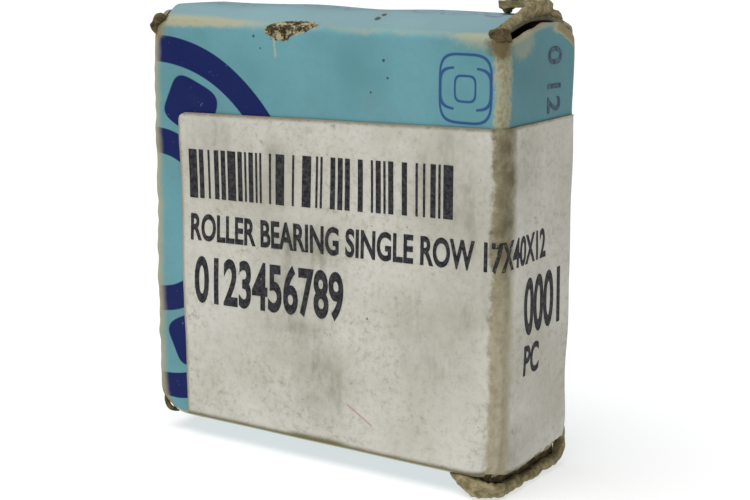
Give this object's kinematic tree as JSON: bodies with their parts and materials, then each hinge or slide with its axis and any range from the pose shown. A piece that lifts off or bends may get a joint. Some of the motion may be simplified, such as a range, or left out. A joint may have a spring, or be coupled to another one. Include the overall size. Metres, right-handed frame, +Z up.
{
  "type": "boxed cylindrical roller bearing",
  "caption": "Single-row cylindrical roller bearing with a separable plain inner ring, lying in its worn folding carton with hinged end lids and a wrap-round paper label.",
  "frame": {"origin": "middle of the carton's base, on the surface it stands on", "axes": "+X along the carton's width towards the labelled end lid, front panel faces -Y and the bearing's axis is parallel to Y, +Z up"},
  "size_m": [0.0434, 0.0152, 0.046],
  "materials": {
    "carton_print": "matte light-blue print, scuffed, cream worn folds",
    "carton_raw": "raw grey-brown inner board, torn fibres",
    "label_paper": "matte off-white paper, dirt-stained",
    "ring_steel": "ground bearing steel",
    "roller_steel": "superfinished bearing steel",
    "cage_polymer": "natural glass-filled polyamide"
  },
  "bodies": {
    "carton": {"carton_sleeve": "carton_print", "label_front": "label_paper"},
    "lid_right": {"end_lid_right": "carton_print", "label_end": "label_paper"},
    "tuck_right": {"tuck_flap_right": "carton_print"},
    "dust_right_bottom": {"dust_flap_right_bottom": "carton_raw"},
    "dust_right_top": {"dust_flap_right_top": "carton_raw"},
    "lid_left": {"end_lid_left": "carton_print"},
    "tuck_left": {"tuck_flap_left": "carton_print"},
    "dust_left_bottom": {"dust_flap_left_bottom": "carton_raw"},
    "dust_left_top": {"dust_flap_left_top": "carton_raw"},
    "outer_ring": {"outer_ring": "ring_steel"},
    "inner_ring": {"inner_ring": "ring_steel"},
    "cage": {"cage": "cage_polymer"},
    "roller_01": {"roller_01": "roller_steel"},
    "roller_02": {"roller_02": "roller_steel"},
    "roller_03": {"roller_03": "roller_steel"},
    "roller_04": {"roller_04": "roller_steel"},
    "roller_05": {"roller_05": "roller_steel"},
    "roller_06": {"roller_06": "roller_steel"},
    "roller_07": {"roller_07": "roller_steel"},
    "roller_08": {"roller_08": "roller_steel"},
    "roller_09": {"roller_09": "roller_steel"},
    "roller_10": {"roller_10": "roller_steel"},
    "roller_11": {"roller_11": "roller_steel"}
  },
  "joints": [
    {"name": "lid_right_open", "type": "hinge", "parent": "carton", "child": "lid_right", "pos_m": [0.02135, -0.00725, 0.02195], "axis": [0, 0, -1], "range_deg": [0, 180]},
    {"name": "tuck_right_fold", "type": "hinge", "parent": "lid_right", "child": "tuck_right", "pos_m": [0.02135, 0.00615, 0.02195], "axis": [0, 0, -1], "range_deg": [-18, 0]},
    {"name": "dust_right_bottom_fold", "type": "hinge", "parent": "carton", "child": "dust_right_bottom", "pos_m": [0.0206, -0.0005, 0.00025], "axis": [0, 1, 0], "range_deg": [0, 90]},
    {"name": "dust_right_top_fold", "type": "hinge", "parent": "carton", "child": "dust_right_top", "pos_m": [0.0206, -0.0005, 0.04365], "axis": [0, 1, 0], "range_deg": [0, 90]},
    {"name": "bearing_withdrawal", "type": "slide", "parent": "carton", "child": "outer_ring", "axis": [1, 0, 0], "range_m": [0, 0.008]},
    {"name": "lid_left_open", "type": "hinge", "parent": "carton", "child": "lid_left", "pos_m": [-0.02135, -0.00725, 0.02195], "axis": [0, 0, 1], "range_deg": [0, 180]},
    {"name": "tuck_left_fold", "type": "hinge", "parent": "lid_left", "child": "tuck_left", "pos_m": [-0.02135, 0.00615, 0.02195], "axis": [0, 0, 1], "range_deg": [-18, 0]},
    {"name": "dust_left_bottom_fold", "type": "hinge", "parent": "carton", "child": "dust_left_bottom", "pos_m": [-0.0206, -0.0005, 0.00025], "axis": [0, -1, 0], "range_deg": [0, 90]},
    {"name": "dust_left_top_fold", "type": "hinge", "parent": "carton", "child": "dust_left_top", "pos_m": [-0.0206, -0.0005, 0.04365], "axis": [0, 1, 0], "range_deg": [0, 90]},
    {"name": "inner_ring_spin", "type": "hinge", "parent": "outer_ring", "child": "inner_ring", "pos_m": [0, -0.0004, 0.0208], "axis": [0, 1, 0], "continuous": true},
    {"name": "cage_spin", "type": "hinge", "parent": "outer_ring", "child": "cage", "pos_m": [0, -0.0004, 0.0208], "axis": [0, 1, 0], "continuous": true},
    {"name": "roller_01_spin", "type": "hinge", "parent": "cage", "child": "roller_01", "pos_m": [0, -0.0004, 0.0351], "axis": [0, 1, 0], "continuous": true},
    {"name": "roller_02_spin", "type": "hinge", "parent": "cage", "child": "roller_02", "pos_m": [0.00773, -0.0004, 0.03283], "axis": [0, 1, 0], "continuous": true},
    {"name": "roller_03_spin", "type": "hinge", "parent": "cage", "child": "roller_03", "pos_m": [0.01301, -0.0004, 0.02674], "axis": [0, 1, 0], "continuous": true},
    {"name": "roller_04_spin", "type": "hinge", "parent": "cage", "child": "roller_04", "pos_m": [0.01415, -0.0004, 0.01877], "axis": [0, 1, 0], "continuous": true},
    {"name": "roller_05_spin", "type": "hinge", "parent": "cage", "child": "roller_05", "pos_m": [0.01081, -0.0004, 0.01144], "axis": [0, 1, 0], "continuous": true},
    {"name": "roller_06_spin", "type": "hinge", "parent": "cage", "child": "roller_06", "pos_m": [0.00403, -0.0004, 0.00708], "axis": [0, 1, 0], "continuous": true},
    {"name": "roller_07_spin", "type": "hinge", "parent": "cage", "child": "roller_07", "pos_m": [-0.00403, -0.0004, 0.00708], "axis": [0, 1, 0], "continuous": true},
    {"name": "roller_08_spin", "type": "hinge", "parent": "cage", "child": "roller_08", "pos_m": [-0.01081, -0.0004, 0.01144], "axis": [0, 1, 0], "continuous": true},
    {"name": "roller_09_spin", "type": "hinge", "parent": "cage", "child": "roller_09", "pos_m": [-0.01415, -0.0004, 0.01877], "axis": [0, 1, 0], "continuous": true},
    {"name": "roller_10_spin", "type": "hinge", "parent": "cage", "child": "roller_10", "pos_m": [-0.01301, -0.0004, 0.02674], "axis": [0, 1, 0], "continuous": true},
    {"name": "roller_11_spin", "type": "hinge", "parent": "cage", "child": "roller_11", "pos_m": [-0.00773, -0.0004, 0.03283], "axis": [0, 1, 0], "continuous": true}
  ],
  "couplings": [
    {"joint": "lid_right_open", "follows": "bearing_withdrawal", "rad_per_m": 392.69},
    {"joint": "tuck_right_fold", "follows": "bearing_withdrawal", "rad_per_m": -39.269},
    {"joint": "dust_right_bottom_fold", "follows": "bearing_withdrawal", "rad_per_m": 196.34},
    {"joint": "tuck_left_fold", "follows": "lid_left_open", "ratio": -0.1},
    {"joint": "dust_left_bottom_fold", "follows": "lid_left_open", "ratio": 0.5},
    {"joint": "dust_left_top_fold", "follows": "lid_left_open", "ratio": 0.5},
    {"joint": "cage_spin", "follows": "inner_ring_spin", "ratio": 0.38636},
    {"joint": "roller_01_spin", "follows": "inner_ring_spin", "ratio": -2.0864},
    {"joint": "roller_02_spin", "follows": "inner_ring_spin", "ratio": -2.0864},
    {"joint": "roller_03_spin", "follows": "inner_ring_spin", "ratio": -2.0864},
    {"joint": "roller_04_spin", "follows": "inner_ring_spin", "ratio": -2.0864},
    {"joint": "roller_05_spin", "follows": "inner_ring_spin", "ratio": -2.0864},
    {"joint": "roller_06_spin", "follows": "inner_ring_spin", "ratio": -2.0864},
    {"joint": "roller_07_spin", "follows": "inner_ring_spin", "ratio": -2.0864},
    {"joint": "roller_08_spin", "follows": "inner_ring_spin", "ratio": -2.0864},
    {"joint": "roller_09_spin", "follows": "inner_ring_spin", "ratio": -2.0864},
    {"joint": "roller_10_spin", "follows": "inner_ring_spin", "ratio": -2.0864},
    {"joint": "roller_11_spin", "follows": "inner_ring_spin", "ratio": -2.0864}
  ]
}
